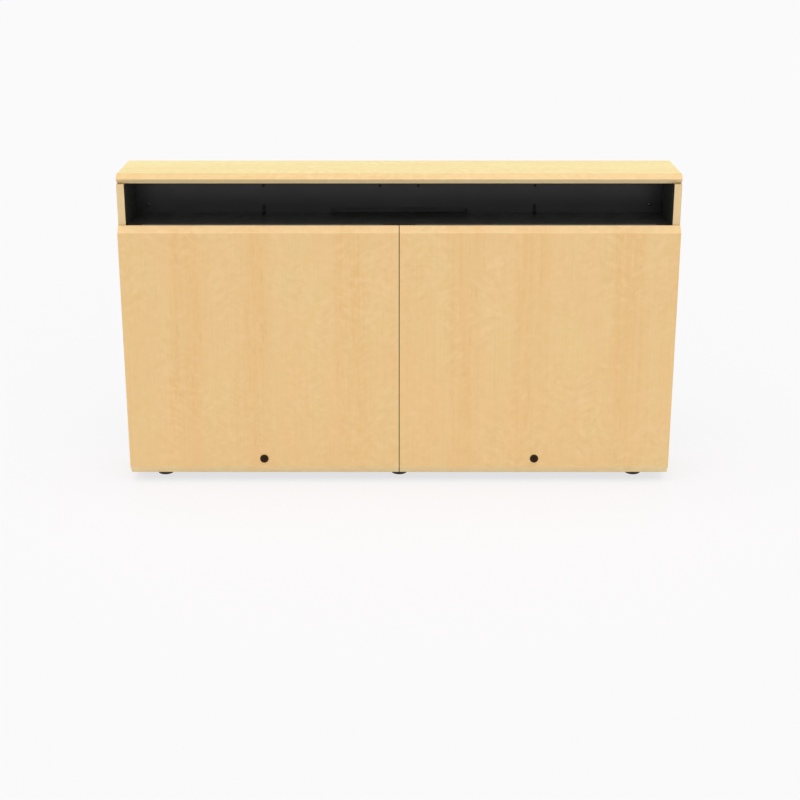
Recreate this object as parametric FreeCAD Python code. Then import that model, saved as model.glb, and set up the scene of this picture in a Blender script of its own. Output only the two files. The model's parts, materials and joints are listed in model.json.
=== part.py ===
import FreeCAD, Part
import math
import os

V = FreeCAD.Vector
ORIGIN = V(0, 0, 0)
X_AXIS = V(1, 0, 0)
Y_AXIS = V(0, 1, 0)
Z_AXIS = V(0, 0, 1)

# Overall sizes, in millimetres
WIDTH = 1400.0
HEIGHT = 812.0
CARCASE_DEPTH = 183.0
FOOT_HEIGHT = 22.0

# Boards of the carcase
SIDE_THICK = 19.0
SHELF_THICK = 19.0
BOTTOM_THICK = 19.0
PARTITION_THICK = 19.0
TOP_THICK = 25.4
TOP_END_EASE = 2.0
EDGE_EASE = 0.8
BACK_THICK = 6.0
RAIL_THICK = 16.0
LOWER_RAIL_HEIGHT = 80.0

# Niche, its cable slot and the ways that cables take behind the boards
NICHE_HEIGHT = 108.0
SLOT_LENGTH = 356.0
SLOT_HEIGHT = 14.0
CHASE_MARGIN = 12.0
CHASE_DEPTH = 10.0
CABLE_GAP = 40.0
PARTITION_NOTCH = 60.0
HEAD_HOLE_RADIUS = 5.0
WALL_HOLE_RADIUS = 2.25
WALL_HOLE_INSET = 51.0
WALL_HOLE_RISE = 21.5

# Doors: bevelled along the top and bottom front edges, with a thin land at the rear
DOOR_THICK = 18.0
DOOR_SEAM = 2.0
DOOR_LIP = 5.3
DOOR_LAND = 1.5
TOP_BEVEL_RISE = 16.5
BOTTOM_BEVEL_RISE = 22.0

# Continuous hinges along the front edge of the shelf, with their axis above the door
# so that no part of the door swings back into the side panels
LEAF_THICK = 0.8
LEAF_CLEARANCE = 0.4
LEAF_HEIGHT = 22.0
AXIS_RISE = 0.8
KNUCKLE_RADIUS = 2.0
KNUCKLE_COUNT = 6
KNUCKLE_GAP = 0.4
PIN_RADIUS = 1.2
PIN_CLEARANCE = 0.05
HINGE_LENGTH = 600.0
TURN_CLEARANCE = 0.3
HINGE_SCREW_COUNT = 4
HINGE_SCREW_INSET = 64.0
HINGE_SCREW_DROP = 14.0
HINGE_SCREW_HEAD_RADIUS = 3.0
HINGE_SCREW_RADIUS = 1.5
HINGE_SCREW_LENGTH = 13.0

# Cam locks
LOCK_RISE = 25.5
BEZEL_RADIUS = 11.0
BEZEL_PROUD = 2.0
BEZEL_CHAMFER = 0.8
BARREL_RADIUS = 9.3
BARREL_REACH = 9.0
BARREL_CLEARANCE = 0.2
PLUG_RADIUS = 6.0
PLUG_RECESS = 0.4
PLUG_CLEARANCE = 0.05
KEYWAY_LENGTH = 8.0
KEYWAY_WIDTH = 1.4
KEYWAY_DEPTH = 4.0
NUT_FLATS = 26.0
NUT_THICK = 4.0
CAM_WIDTH = 12.0
CAM_THICK = 2.0
CAM_CLEARANCE = 0.3
TAIL_SIZE = 6.0
TAIL_CLEARANCE = 0.1
CAM_SCREW_RADIUS = 4.0
CAM_SCREW_HEAD = 2.4

# Strike plates on the bottom panel
STRIKE_THICK = 1.6
STRIKE_LENGTH = 44.0
STRIKE_DEPTH = 28.0
STRIKE_GAP = 0.8
STRIKE_DROP = 2.4
STRIKE_SCREW_SPACING = 26.0
CAM_TIP_GAP = 2.0

# Levelling feet and their threaded inserts
FOOT_RADIUS = 20.5
FOOT_INSET = 81.0
FOOT_SETBACK = 52.0
FOOT_PAD_HEIGHT = 7.0
NECK_FLATS = 13.0
STEM_RADIUS = 4.0
STEM_CLEARANCE = 0.05
INSERT_RADIUS = 6.0
INSERT_LENGTH = 14.0
INSERT_CLEARANCE = 0.1
INSERT_END_GAP = 1.0

# Gas struts: pivots measured from the hinge axis, the shelf and the rear of the door
STRUT_PIVOT_BACK = 45.0
STRUT_BRACKET_MARGIN = 4.0
DOOR_STUD_DROP = 260.0
DOOR_STUD_STANDOFF = 22.0
DOOR_SWING = 90.0
CYLINDER_RADIUS = 8.0
CYLINDER_WALL = 1.2
CYLINDER_SIDE_GAP = 1.0
ROD_RADIUS = 4.0
ROD_CLEARANCE = 0.05
ROD_SHOWING = 50.0
ROD_HELD = 30.0
ROD_END_GAP = 4.0
EYE_RADIUS = 8.0
EYE_THICK = 10.0
STUD_RADIUS = 4.0
STUD_CLEARANCE = 0.05
STUD_OPEN_GAP = 0.3
BRACKET_THICK = 2.5
BRACKET_LENGTH = 40.0
BRACKET_WIDTH = 24.0
EAR_RADIUS = 10.0

# Small fittings; screws, dowels and inserts are faceted all round
FACETS = 8
HEXAGON = 6
BLOCK_SIZE = 20.0
BLOCK_LENGTH = 30.0
BLOCK_CHAMFER = 8.0
BLOCK_REAR_GAP = 10.0
BLOCK_SPACING = 46.0
DOWEL_RADIUS = 4.0
DOWEL_LENGTH = 30.0
DOWEL_CLEARANCE = 0.1
DOWEL_END_GAP = 1.0
DOWEL_INSET = 40.0
NICHE_BRACKET_WIDTH = 8.0
NICHE_BRACKET_HEIGHT = 23.0
NICHE_BRACKET_DEPTH = 20.0
NICHE_BRACKET_THICK = 2.0
SCREW_HEAD_RADIUS = 3.5
SCREW_HEAD_HEIGHT = 1.8
SCREW_RADIUS = 1.6
SCREW_LENGTH = 14.0
SCREW_ROW_DROP = 36.0
SCREW_CENTRE_OFFSET = 49.5
BUMPER_RADIUS = 4.0
BUMPER_OFFSET = 5.5
BUMPER_RISE = 80.0
BUMPER_GAP = 0.3

# Planes and places that follow from the sizes above
DOOR_GAP = 2 * LEAF_THICK + LEAF_CLEARANCE
TOTAL_DEPTH = BEZEL_PROUD + DOOR_THICK + DOOR_GAP + CARCASE_DEPTH
LOCK_FRONT_Y = -TOTAL_DEPTH / 2
DOOR_FRONT_Y = LOCK_FRONT_Y + BEZEL_PROUD
DOOR_REAR_Y = DOOR_FRONT_Y + DOOR_THICK
FRONT_Y = DOOR_REAR_Y + DOOR_GAP
BACK_Y = FRONT_Y + CARCASE_DEPTH
BACK_REAR_Y = BACK_Y - RAIL_THICK
BACK_FACE_Y = BACK_REAR_Y - BACK_THICK

HALF_WIDTH = WIDTH / 2
SIDE_INNER = HALF_WIDTH - SIDE_THICK
BOTTOM_TOP_Z = FOOT_HEIGHT + BOTTOM_THICK
TOP_UNDER_Z = HEIGHT - TOP_THICK
SHELF_TOP_Z = TOP_UNDER_Z - NICHE_HEIGHT
SHELF_UNDER_Z = SHELF_TOP_Z - SHELF_THICK
LOWER_BACK_TOP_Z = SHELF_UNDER_Z - CABLE_GAP
DOOR_TOP_Z = SHELF_TOP_Z + DOOR_LIP
DOOR_MID_X = (HALF_WIDTH + DOOR_SEAM / 2) / 2

AXIS_Y = DOOR_REAR_Y + KNUCKLE_RADIUS + TURN_CLEARANCE
AXIS_Z = DOOR_TOP_Z + AXIS_RISE
LEAF_TOP_Z = AXIS_Z - KNUCKLE_RADIUS - TURN_CLEARANCE
HINGE_START_X = (SIDE_INNER - HINGE_LENGTH) / 2

LOCK_Z = BOTTOM_TOP_Z + LOCK_RISE
BARREL_END = BEZEL_PROUD + DOOR_THICK + BARREL_REACH
CAM_START = BARREL_END + CAM_CLEARANCE
CAM_END = CAM_START + CAM_THICK
STRIKE_REAR_Y = LOCK_FRONT_Y + CAM_START - STRIKE_GAP
STRIKE_TOP_Z = LOCK_Z - BARREL_RADIUS - STRIKE_DROP
CAM_REACH = LOCK_Z - BOTTOM_TOP_Z - STRIKE_THICK - CAM_TIP_GAP

STRUT_X = SIDE_INNER - BRACKET_THICK - CYLINDER_SIDE_GAP - CYLINDER_RADIUS
STRUT_PIVOT_Z = SHELF_UNDER_Z - STRUT_BRACKET_MARGIN - BRACKET_LENGTH / 2
STRUT_PIVOT = V(STRUT_X, AXIS_Y + STRUT_PIVOT_BACK, STRUT_PIVOT_Z)
DOOR_STUD = V(STRUT_X, DOOR_REAR_Y + DOOR_STUD_STANDOFF, AXIS_Z - DOOR_STUD_DROP)
HINGE_POINT = V(STRUT_X, AXIS_Y, AXIS_Z)

nodes = {}


def box(low, high):
    size = high - low
    return Part.makeBox(size.x, size.y, size.z, low)


def prism_along_x(outline, start, end):
    """Extrude an outline of (y, z) points from one X to another."""
    points = [V(start, y, z) for y, z in outline + outline[:1]]
    return Part.Face(Part.makePolygon(points)).extrude(V(end - start, 0, 0))


def prism_along_y(outline, start, end):
    """Extrude an outline of (x, z) points from one Y to another."""
    points = [V(x, start, z) for x, z in outline + outline[:1]]
    return Part.Face(Part.makePolygon(points)).extrude(V(0, end - start, 0))


def rod(radius, start, end):
    """Round bar between two points."""
    run = end - start
    return Part.makeCylinder(radius, run.Length, start, run)


def faceted_rod(radius, start, end, facets=FACETS):
    """Bar with flat facets all round, between two points."""
    run = end - start
    points = []
    for index in range(facets + 1):
        angle = 2 * math.pi * index / facets
        points.append(V(radius * math.cos(angle), radius * math.sin(angle), 0))
    bar = Part.Face(Part.makePolygon(points)).extrude(V(0, 0, run.Length))
    bar.Placement = FreeCAD.Placement(start, FreeCAD.Rotation(Z_AXIS, run))
    return bar


def hexagon_rod(across_flats, start, end):
    """Six-sided bar between two points."""
    corner_radius = across_flats / 2 / math.cos(math.pi / HEXAGON)
    return faceted_rod(corner_radius, start, end, HEXAGON)


def lathe(outline, base, axis):
    """Turn an outline of (radius, height) points about an axis."""
    points = [V(radius, 0, height) for radius, height in outline + outline[:1]]
    solid = Part.Face(Part.makePolygon(points)).revolve(ORIGIN, Z_AXIS, 360)
    solid.Placement = FreeCAD.Placement(base, FreeCAD.Rotation(Z_AXIS, axis))
    return solid


def mirrored(shape):
    return shape.mirror(ORIGIN, X_AXIS)


def add_pair(name, shape):
    """A piece of the right half and its mirror image on the left."""
    nodes["right_" + name] = shape
    nodes["left_" + name] = mirrored(shape)


def edges_along(shape, direction, chosen):
    """Straight edges along a direction whose middle point is chosen."""
    found = []
    for edge in shape.Edges:
        tangent = edge.tangentAt(edge.FirstParameter)
        if abs(tangent.dot(direction)) > 0.999 and chosen(edge.CenterOfMass):
            found.append(edge)
    return found


# Carcase boards


def top_panel():
    """Top whose front edge runs out to a V, with its point level with the carcase front."""
    run = TOP_THICK / 2
    outline = [
        (FRONT_Y + run, HEIGHT),
        (FRONT_Y, HEIGHT - run),
        (FRONT_Y + run, TOP_UNDER_Z),
        (BACK_Y, TOP_UNDER_Z),
        (BACK_Y, HEIGHT),
    ]
    board = prism_along_x(outline, -HALF_WIDTH, HALF_WIDTH)
    point_edge = edges_along(board, X_AXIS, lambda c: c.y < FRONT_Y + EDGE_EASE)
    board = board.makeFillet(EDGE_EASE, point_edge)
    end_edges = edges_along(board, Y_AXIS, lambda c: c.z > HEIGHT - EDGE_EASE)
    return board.makeChamfer(TOP_END_EASE, end_edges)


def dowel_places():
    return [FRONT_Y + DOWEL_INSET, BACK_Y - DOWEL_INSET]


def dowel_solids(extra_radius, extra_length):
    """Dowels between the top and the sides, or the holes that they sit in."""
    middle_x = HALF_WIDTH - SIDE_THICK / 2
    half = TOP_THICK / 2 + extra_length
    low = TOP_UNDER_Z - DOWEL_LENGTH + TOP_THICK / 2 - extra_length
    solids = []
    for side in (-1, 1):
        for y in dowel_places():
            start = V(side * middle_x, y, low)
            end = V(side * middle_x, y, TOP_UNDER_Z + half)
            solids.append(faceted_rod(DOWEL_RADIUS + extra_radius, start, end))
    return solids


def side_panel():
    return box(V(SIDE_INNER, FRONT_Y, FOOT_HEIGHT), V(HALF_WIDTH, BACK_Y, TOP_UNDER_Z))


def between_sides(front, back, low, high):
    return box(V(-SIDE_INNER, front, low), V(SIDE_INNER, back, high))


def stadium_slot(half_length, low, high, front, back):
    """Cutter for a slot with round ends, through a board from front to back."""
    radius = (high - low) / 2
    middle = (high + low) / 2
    reach = half_length - radius
    cutter = box(V(-reach, front, low), V(reach, back, high))
    for side in (-1, 1):
        end = rod(radius, V(side * reach, front, middle), V(side * reach, back, middle))
        cutter = cutter.fuse(end)
    return cutter.removeSplitter()


def wall_holes(radius, front, back):
    """Pair of holes for the wall screws, whose heads pass the niche back and seat on the rail."""
    holes = []
    for side in (-1, 1):
        x = side * (HALF_WIDTH - WALL_HOLE_INSET)
        z = SHELF_TOP_Z + WALL_HOLE_RISE
        holes.append(rod(radius, V(x, front, z), V(x, back, z)))
    return holes


def niche_back_panel():
    board = between_sides(BACK_FACE_Y, BACK_REAR_Y, SHELF_UNDER_Z, TOP_UNDER_Z)
    slot_top = SHELF_TOP_Z + SLOT_HEIGHT
    slot = stadium_slot(SLOT_LENGTH / 2, SHELF_TOP_Z, slot_top, BACK_FACE_Y, BACK_REAR_Y)
    return board.cut([slot] + wall_holes(HEAD_HOLE_RADIUS, BACK_FACE_Y, BACK_REAR_Y))


def hanging_rail():
    """Rail against the wall, hollowed in front where cables come down from the slot."""
    board = between_sides(BACK_REAR_Y, BACK_Y, SHELF_UNDER_Z, TOP_UNDER_Z)
    reach = SLOT_LENGTH / 2 + CHASE_MARGIN
    chase_top = SHELF_TOP_Z + SLOT_HEIGHT
    chase_back = BACK_REAR_Y + CHASE_DEPTH
    chase = box(V(-reach, BACK_REAR_Y, SHELF_UNDER_Z), V(reach, chase_back, chase_top))
    return board.cut([chase] + wall_holes(WALL_HOLE_RADIUS, BACK_REAR_Y, BACK_Y))


def centre_partition():
    """Upright behind the door seam, cut away at the top rear corner for cables."""
    cut_y = BACK_FACE_Y - PARTITION_NOTCH
    cut_z = SHELF_UNDER_Z - PARTITION_NOTCH
    outline = [
        (FRONT_Y, BOTTOM_TOP_Z),
        (BACK_FACE_Y, BOTTOM_TOP_Z),
        (BACK_FACE_Y, cut_z),
        (cut_y, SHELF_UNDER_Z),
        (FRONT_Y, SHELF_UNDER_Z),
    ]
    return prism_along_x(outline, -PARTITION_THICK / 2, PARTITION_THICK / 2)


def carcase():
    top_holes = dowel_solids(DOWEL_CLEARANCE, DOWEL_END_GAP)
    nodes["top_panel"] = top_panel().cut(top_holes)
    add_pair("side_panel", side_panel().cut(top_holes))
    nodes["niche_shelf"] = between_sides(FRONT_Y, BACK_FACE_Y, SHELF_UNDER_Z, SHELF_TOP_Z)
    bottom = between_sides(FRONT_Y, BACK_Y, FOOT_HEIGHT, BOTTOM_TOP_Z)
    nodes["bottom_panel"] = bottom.cut([insert_socket(place) for place in foot_places().values()])
    nodes["niche_back_panel"] = niche_back_panel()
    nodes["hanging_rail"] = hanging_rail()
    nodes["lower_back_panel"] = between_sides(BACK_FACE_Y, BACK_REAR_Y, BOTTOM_TOP_Z, LOWER_BACK_TOP_Z)
    lower_rail_top = BOTTOM_TOP_Z + LOWER_RAIL_HEIGHT
    nodes["lower_wall_rail"] = between_sides(BACK_REAR_Y, BACK_Y, BOTTOM_TOP_Z, lower_rail_top)
    nodes["centre_partition"] = centre_partition()
    nodes["top_dowels"] = Part.makeCompound(dowel_solids(0, 0))


# Doors and their continuous hinges


def door():
    outline = [
        (DOOR_REAR_Y, FOOT_HEIGHT),
        (DOOR_REAR_Y, DOOR_TOP_Z),
        (DOOR_REAR_Y - DOOR_LAND, DOOR_TOP_Z),
        (DOOR_FRONT_Y, DOOR_TOP_Z - TOP_BEVEL_RISE),
        (DOOR_FRONT_Y, FOOT_HEIGHT + BOTTOM_BEVEL_RISE),
        (DOOR_REAR_Y - DOOR_LAND, FOOT_HEIGHT),
    ]
    board = prism_along_x(outline, DOOR_SEAM / 2, HALF_WIDTH)
    bevel_edges = edges_along(board, X_AXIS, lambda c: c.y < DOOR_FRONT_Y + EDGE_EASE)
    board = board.makeFillet(EDGE_EASE, bevel_edges)
    hole_radius = BARREL_RADIUS + BARREL_CLEARANCE
    hole = rod(hole_radius, V(DOOR_MID_X, DOOR_FRONT_Y, LOCK_Z), V(DOOR_MID_X, DOOR_REAR_Y, LOCK_Z))
    return board.cut(hole)


def hinge_screw_places():
    run = HINGE_LENGTH - 2 * HINGE_SCREW_INSET
    step = run / (HINGE_SCREW_COUNT - 1)
    first = HINGE_START_X + HINGE_SCREW_INSET
    return [V(first + step * index, 0, AXIS_Z - HINGE_SCREW_DROP) for index in range(HINGE_SCREW_COUNT)]


def hinge_leaf(front, first_knuckle):
    """Leaf with every second knuckle, bored for the pin and pierced for its screws."""
    back = front + LEAF_THICK
    end_x = HINGE_START_X + HINGE_LENGTH
    plate = box(V(HINGE_START_X, front, AXIS_Z - LEAF_HEIGHT), V(end_x, back, LEAF_TOP_Z))
    pitch = HINGE_LENGTH / KNUCKLE_COUNT
    knuckles = []
    for index in range(first_knuckle, KNUCKLE_COUNT, 2):
        start = HINGE_START_X + pitch * index + KNUCKLE_GAP / 2
        end = start + pitch - KNUCKLE_GAP
        knuckles.append(box(V(start, front, LEAF_TOP_Z), V(end, back, AXIS_Z)))
        knuckles.append(rod(KNUCKLE_RADIUS, V(start, AXIS_Y, AXIS_Z), V(end, AXIS_Y, AXIS_Z)))
    bore_radius = PIN_RADIUS + PIN_CLEARANCE
    cutters = [rod(bore_radius, V(HINGE_START_X, AXIS_Y, AXIS_Z), V(end_x, AXIS_Y, AXIS_Z))]
    for place in hinge_screw_places():
        start = V(place.x, front, place.z)
        end = V(place.x, back, place.z)
        cutters.append(faceted_rod(HINGE_SCREW_HEAD_RADIUS, start, end))
    return plate.fuse(knuckles).removeSplitter().cut(cutters)


def screw(seat, outward, head_radius, head_height, shank_radius, shank_length):
    """Screw with its head standing on a seat and its shank driven in behind it."""
    head = faceted_rod(head_radius, seat, seat + outward * head_height)
    shank = faceted_rod(shank_radius, seat - outward * shank_length, seat)
    return head.fuse(shank).removeSplitter()


def hinge_screws(seat_y, outward):
    """Flat screws whose heads fill the holes of a leaf."""
    solids = []
    for place in hinge_screw_places():
        seat = V(place.x, seat_y, place.z)
        solids.append(
            screw(seat, outward, HINGE_SCREW_HEAD_RADIUS, LEAF_THICK, HINGE_SCREW_RADIUS, HINGE_SCREW_LENGTH)
        )
    return Part.makeCompound(solids)


def doors():
    add_pair("door", door())
    add_pair("hinge_carcase_leaf", hinge_leaf(FRONT_Y - LEAF_THICK, 0))
    add_pair("hinge_door_leaf", hinge_leaf(DOOR_REAR_Y, 1))
    pin_start = V(HINGE_START_X, AXIS_Y, AXIS_Z)
    add_pair("hinge_pin", rod(PIN_RADIUS, pin_start, pin_start + V(HINGE_LENGTH, 0, 0)))
    add_pair("hinge_carcase_screws", hinge_screws(FRONT_Y, -Y_AXIS))
    add_pair("hinge_door_screws", hinge_screws(DOOR_REAR_Y, Y_AXIS))


# Cam locks and strike plates


def lock_base():
    return V(DOOR_MID_X, LOCK_FRONT_Y, LOCK_Z)


def lock_housing():
    bore = PLUG_RADIUS + PLUG_CLEARANCE
    profile = [
        (bore, 0),
        (BEZEL_RADIUS - BEZEL_CHAMFER, 0),
        (BEZEL_RADIUS, BEZEL_CHAMFER),
        (BEZEL_RADIUS, BEZEL_PROUD),
        (BARREL_RADIUS, BEZEL_PROUD),
        (BARREL_RADIUS, BARREL_END),
        (bore, BARREL_END),
    ]
    return lathe(profile, lock_base(), Y_AXIS)


def centred_box(width, height, start, end):
    """Block about the lock axis, between two distances from the lock face."""
    low = lock_base() + V(-width / 2, start, -height / 2)
    high = lock_base() + V(width / 2, end, height / 2)
    return box(low, high)


def lock_plug():
    """Plug with a keyway in its face and a square tail for the cam."""
    face = lock_base() + V(0, PLUG_RECESS, 0)
    barrel = rod(PLUG_RADIUS, face, lock_base() + V(0, CAM_START, 0))
    tail = centred_box(TAIL_SIZE, TAIL_SIZE, CAM_START, CAM_END)
    keyway = centred_box(KEYWAY_WIDTH, KEYWAY_LENGTH, PLUG_RECESS, PLUG_RECESS + KEYWAY_DEPTH)
    return barrel.fuse(tail).cut(keyway)


def lock_cam():
    """Cam that lies level, towards the seam, while the lock is open."""
    start = lock_base() + V(0, CAM_START, 0)
    hub = rod(CAM_WIDTH / 2, start, start + V(0, CAM_THICK, 0))
    arm = box(start + V(-CAM_REACH, 0, -CAM_WIDTH / 2), start + V(0, CAM_THICK, CAM_WIDTH / 2))
    hole_size = TAIL_SIZE + 2 * TAIL_CLEARANCE
    return hub.fuse(arm).removeSplitter().cut(centred_box(hole_size, hole_size, CAM_START, CAM_END))


def lock_nut():
    """Six-sided nut behind the door."""
    start = V(DOOR_MID_X, DOOR_REAR_Y, LOCK_Z)
    end = start + V(0, NUT_THICK, 0)
    return hexagon_rod(NUT_FLATS, start, end).cut(rod(BARREL_RADIUS + BARREL_CLEARANCE, start, end))


def strike_plate():
    """Angle on the bottom panel: its upright stands in front of the locked cam."""
    front = STRIKE_REAR_Y - STRIKE_THICK
    outline = [
        (front, BOTTOM_TOP_Z),
        (front + STRIKE_DEPTH, BOTTOM_TOP_Z),
        (front + STRIKE_DEPTH, BOTTOM_TOP_Z + STRIKE_THICK),
        (STRIKE_REAR_Y, BOTTOM_TOP_Z + STRIKE_THICK),
        (STRIKE_REAR_Y, STRIKE_TOP_Z),
        (front, STRIKE_TOP_Z),
    ]
    return prism_along_x(outline, DOOR_MID_X - STRIKE_LENGTH / 2, DOOR_MID_X + STRIKE_LENGTH / 2)


def pan_screw(seat, outward):
    return screw(seat, outward, SCREW_HEAD_RADIUS, SCREW_HEAD_HEIGHT, SCREW_RADIUS, SCREW_LENGTH)


def strike_screws():
    y = STRIKE_REAR_Y + STRIKE_DEPTH * 2 / 3
    solids = []
    for side in (-1, 1):
        x = DOOR_MID_X + side * STRIKE_SCREW_SPACING / 2
        solids.append(pan_screw(V(x, y, BOTTOM_TOP_Z + STRIKE_THICK), Z_AXIS))
    return Part.makeCompound(solids)


def locks():
    add_pair("lock_housing", lock_housing())
    add_pair("lock_plug", lock_plug())
    add_pair("lock_cam", lock_cam())
    screw_start = lock_base() + V(0, CAM_END, 0)
    screw_end = screw_start + V(0, CAM_SCREW_HEAD, 0)
    add_pair("lock_cam_screw", faceted_rod(CAM_SCREW_RADIUS, screw_start, screw_end))
    add_pair("lock_nut", lock_nut())
    right_screws = strike_screws()
    add_pair("strike_plate", strike_plate().cut(right_screws))
    nodes["strike_screws"] = Part.makeCompound([right_screws, mirrored(right_screws)])


# Levelling feet


def foot_places():
    """Foot centres by name, on the underside of the bottom panel."""
    columns = {"left": FOOT_INSET - HALF_WIDTH, "centre": 0.0, "right": HALF_WIDTH - FOOT_INSET}
    rows = {"front": FRONT_Y + FOOT_SETBACK, "rear": BACK_Y - FOOT_SETBACK}
    places = {}
    for row, y in rows.items():
        for column, x in columns.items():
            places[row + "_" + column] = V(x, y, FOOT_HEIGHT)
    return places


def insert_socket(place):
    depth = INSERT_LENGTH + INSERT_END_GAP
    return faceted_rod(INSERT_RADIUS + INSERT_CLEARANCE, place, place + V(0, 0, depth))


def foot_insert(place):
    top = place + V(0, 0, INSERT_LENGTH)
    return faceted_rod(INSERT_RADIUS, place, top).cut(rod(STEM_RADIUS + STEM_CLEARANCE, place, top))


def levelling_foot(place):
    """Round pad with a six-sided neck for a spanner and a threaded stem."""
    floor = V(place.x, place.y, 0)
    pad_top = floor + V(0, 0, FOOT_PAD_HEIGHT)
    neck_top = place - V(0, 0, TURN_CLEARANCE)
    pad = rod(FOOT_RADIUS, floor, pad_top)
    neck = hexagon_rod(NECK_FLATS, pad_top, neck_top)
    stem = rod(STEM_RADIUS, neck_top, place + V(0, 0, INSERT_LENGTH))
    return pad.fuse([neck, stem]).removeSplitter()


def feet():
    for name, place in foot_places().items():
        nodes[name + "_foot"] = levelling_foot(place)
    nodes["foot_inserts"] = Part.makeCompound([foot_insert(place) for place in foot_places().values()])


# Gas struts


def opened(point):
    """Where a point of the door goes when the door is fully open."""
    turn = FreeCAD.Rotation(X_AXIS, -DOOR_SWING)
    return HINGE_POINT + turn.multVec(point - HINGE_POINT)


def strut_lengths():
    """Distance between the strut's pivots with the door shut and open."""
    return (DOOR_STUD - STRUT_PIVOT).Length, (opened(DOOR_STUD) - STRUT_PIVOT).Length


def eye(centre):
    half = V(EYE_THICK / 2, 0, 0)
    return rod(EYE_RADIUS, centre - half, centre + half)


def stud_bore(centre):
    half = V(EYE_THICK / 2, 0, 0)
    return rod(STUD_RADIUS + STUD_CLEARANCE, centre - half, centre + half)


def strut_cylinder():
    """Pressure tube, bored for the rod, with an eye on the cabinet stud."""
    shut, _ = strut_lengths()
    run = (DOOR_STUD - STRUT_PIVOT).normalize()
    start = STUD_RADIUS + CYLINDER_WALL
    end = shut - ROD_SHOWING
    bore = ROD_RADIUS + ROD_CLEARANCE
    floor = rod_end() - ROD_END_GAP
    profile = [
        (0, start),
        (CYLINDER_RADIUS, start),
        (CYLINDER_RADIUS, end),
        (bore, end),
        (bore, floor),
        (0, floor),
    ]
    tube = lathe(profile, STRUT_PIVOT, run)
    return tube.fuse(eye(STRUT_PIVOT)).removeSplitter().cut(stud_bore(STRUT_PIVOT))


def rod_end():
    """Inner end of the rod, which stays held in the tube at full stretch."""
    shut, stretched = strut_lengths()
    return shut - ROD_SHOWING - ROD_HELD - (stretched - shut)


def strut_rod():
    """Rod that slides in the tube, with an eye beside the door stud."""
    run = (DOOR_STUD - STRUT_PIVOT).normalize()
    bar = rod(ROD_RADIUS, STRUT_PIVOT + run * rod_end(), DOOR_STUD)
    return bar.fuse(eye(DOOR_STUD)).removeSplitter().cut(stud_bore(DOOR_STUD))


def strut_cabinet_bracket():
    """Plate on the side panel with the stud that carries the tube."""
    half = V(0, BRACKET_WIDTH / 2, BRACKET_LENGTH / 2)
    face = V(SIDE_INNER, STRUT_PIVOT.y, STRUT_PIVOT.z)
    plate = box(face - half - V(BRACKET_THICK, 0, 0), face + half)
    stud_end = STRUT_PIVOT - V(EYE_THICK / 2 + BRACKET_THICK, 0, 0)
    return plate.fuse(rod(STUD_RADIUS, stud_end, face)).removeSplitter()


def strut_door_bracket():
    """Angle on the door with the stud that stops just short of the rod's eye."""
    stud_tip = DOOR_STUD - V(EYE_THICK / 2 + STUD_OPEN_GAP, 0, 0)
    ear_face = stud_tip - V(EYE_THICK, 0, 0)
    ear_back = ear_face - V(BRACKET_THICK, 0, 0)
    rise = V(0, 0, BRACKET_LENGTH / 2)
    base_low = V(ear_back.x, DOOR_REAR_Y, DOOR_STUD.z) - V(BRACKET_WIDTH, 0, 0) - rise
    base = box(base_low, V(ear_face.x, DOOR_REAR_Y + BRACKET_THICK, DOOR_STUD.z) + rise)
    ear_low = V(ear_back.x, DOOR_REAR_Y, DOOR_STUD.z - EAR_RADIUS)
    ear = box(ear_low, ear_face + V(0, 0, EAR_RADIUS))
    head = rod(EAR_RADIUS, ear_back, ear_face)
    return base.fuse([ear, head, rod(STUD_RADIUS, ear_face, stud_tip)]).removeSplitter()


def struts():
    add_pair("strut_cylinder", strut_cylinder())
    add_pair("strut_rod", strut_rod())
    add_pair("strut_cabinet_bracket", strut_cabinet_bracket())
    add_pair("strut_door_bracket", strut_door_bracket())


# Small fittings of the carcase


def joint_block(y, seat_z, up):
    """Block in the corner between a side panel and a board, chamfered on its free corner."""
    inner = SIDE_INNER - BLOCK_SIZE
    far = seat_z + up * BLOCK_SIZE
    outline = [
        (SIDE_INNER, seat_z),
        (SIDE_INNER, far),
        (inner + BLOCK_CHAMFER, far),
        (inner, far - up * BLOCK_CHAMFER),
        (inner, seat_z),
    ]
    return prism_along_y(outline, y - BLOCK_LENGTH, y)


def joint_blocks():
    solids = []
    for seat_z, up in ((SHELF_UNDER_Z, -1), (BOTTOM_TOP_Z, 1)):
        for index in range(2):
            y = BACK_FACE_Y - BLOCK_REAR_GAP - BLOCK_SPACING * index
            block = joint_block(y, seat_z, up)
            solids += [block, mirrored(block)]
    return Part.makeCompound(solids)


def niche_bracket():
    """Small angle in the corner of the niche floor and back."""
    inner_y = BACK_FACE_Y - NICHE_BRACKET_THICK
    inner_z = SHELF_TOP_Z + NICHE_BRACKET_THICK
    outline = [
        (BACK_FACE_Y, SHELF_TOP_Z),
        (BACK_FACE_Y, SHELF_TOP_Z + NICHE_BRACKET_HEIGHT),
        (inner_y, SHELF_TOP_Z + NICHE_BRACKET_HEIGHT),
        (inner_y, inner_z),
        (BACK_FACE_Y - NICHE_BRACKET_DEPTH, inner_z),
        (BACK_FACE_Y - NICHE_BRACKET_DEPTH, SHELF_TOP_Z),
    ]
    half = NICHE_BRACKET_WIDTH / 2
    return prism_along_x(outline, DOOR_MID_X - half, DOOR_MID_X + half)


def back_screws():
    """Screws through the two back panels into the rails behind them."""
    niche_z = TOP_UNDER_Z - SCREW_ROW_DROP
    lower_z = BOTTOM_TOP_Z + LOWER_RAIL_HEIGHT / 2
    solids = []
    for z in (niche_z, lower_z):
        for x in (SCREW_CENTRE_OFFSET, DOOR_MID_X):
            for side in (-1, 1):
                solids.append(pan_screw(V(side * x, BACK_FACE_Y, z), -Y_AXIS))
    return Part.makeCompound(solids)


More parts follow.
